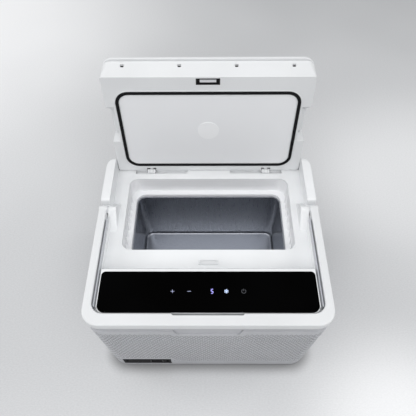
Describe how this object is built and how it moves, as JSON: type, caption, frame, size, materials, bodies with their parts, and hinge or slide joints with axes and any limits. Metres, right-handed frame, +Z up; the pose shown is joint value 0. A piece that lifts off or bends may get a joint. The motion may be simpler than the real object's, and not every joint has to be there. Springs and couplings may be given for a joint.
{
  "type": "vaccine carrier",
  "caption": "Portable compressor cooler for vaccines: textured white box, metal-lined cavity, hinged insulated lid, folding bail handle and flush black touch panel.",
  "frame": {"origin": "on the floor, under the middle of the box round the body and the open lid", "axes": "+Z up, +Y towards the hinge side at the rear, +X to the right seen from the front"},
  "size_m": [0.4, 0.3926, 0.4502],
  "materials": {
    "textured_shell": "white moulding with a fine embossed diagonal texture on its outer faces",
    "foot_rubber": "matte black",
    "plate_steel": "black powder coat",
    "steel": "zinc-plated steel",
    "white_shell": "fine satin injection-moulded white with a light grain",
    "liner_white": "smooth white liner",
    "tank_metal": "brushed upright, soft reflections",
    "coil_metal": "mill finish",
    "foam": "pale yellow closed-cell polyurethane foam",
    "dark_plate": "dark grey satin moulding",
    "black_plastic": "matte black moulding",
    "board_green": "solder-masked circuit board",
    "compressor_black": "black baked enamel",
    "copper": "drawn copper, slightly dull",
    "black_glass": "gloss black back-printed glass",
    "light_guide": "milky light guide, lit blue-white",
    "bush_plastic": "self-lubricating off-white bush",
    "lid_white": "satin white moulding",
    "lid_panel": "smooth light grey-white thermoformed panel",
    "plug_plastic": "matte off-white closure",
    "gasket_rubber": "matte black extruded seal"
  },
  "bodies": {
    "housing": {"outer_shell": "textured_shell", "rubber_feet": "foot_rubber", "base_plate": "plate_steel", "base_plate_screws": "steel", "top_frame": "white_shell", "cavity_liner": "liner_white", "inner_tank": "tank_metal", "evaporator_coil": "coil_metal", "foam_insulation": "foam", "bay_wall": "white_shell", "left_vent_grille": "white_shell", "right_vent_grille": "white_shell", "inlet_plate": "dark_plate", "inlet_screws": "steel", "power_socket": "black_plastic", "power_board": "board_green", "condenser": "coil_metal", "fan_shroud": "plate_steel", "fan_frame": "black_plastic", "compressor": "compressor_black", "compressor_grommets": "foot_rubber", "compressor_studs": "steel", "filter_drier": "copper", "control_glass": "black_glass", "panel_tray": "black_plastic", "control_board": "board_green", "display_module": "light_guide", "catch_block": "white_shell", "hinge_brackets": "white_shell", "hinge_pins": "steel", "handle_pins": "steel"},
    "lid": {"lid_frame": "lid_white", "lid_cover": "lid_white", "lid_liner": "lid_panel", "lid_foam": "foam", "lid_fill_plug": "plug_plastic", "lid_gasket": "gasket_rubber", "lid_front_screws": "steel", "latch_bezel": "black_plastic", "hinge_leaves": "white_shell"},
    "latch": {"latch_tongue": "bush_plastic"},
    "handle": {"handle_outer_shell": "white_shell", "handle_inner_shell": "bush_plastic", "handle_bushes": "bush_plastic", "handle_screws": "steel"},
    "fan": {"fan_rotor": "black_plastic"}
  },
  "joints": [
    {"name": "lid_hinge", "type": "hinge", "parent": "housing", "child": "lid", "pos_m": [0, 0.13698, 0.2195], "axis": [1, 0, 0], "range_deg": [0, 95.8]},
    {"name": "latch_slide", "type": "slide", "parent": "lid", "child": "latch", "axis": [0, 0.9949, -0.1011], "range_m": [0, 0.0025], "stiffness_N_per_m": 400, "springref_m": -0.003},
    {"name": "handle_pivot", "type": "hinge", "parent": "housing", "child": "handle", "pos_m": [0, 0.02518, 0.24525], "axis": [-1, 0, 0], "range_deg": [0, 92]},
    {"name": "fan_spin", "type": "hinge", "parent": "housing", "child": "fan", "pos_m": [-0.096, -0.13882, 0.129], "axis": [1, 0, 0], "continuous": true}
  ]
}
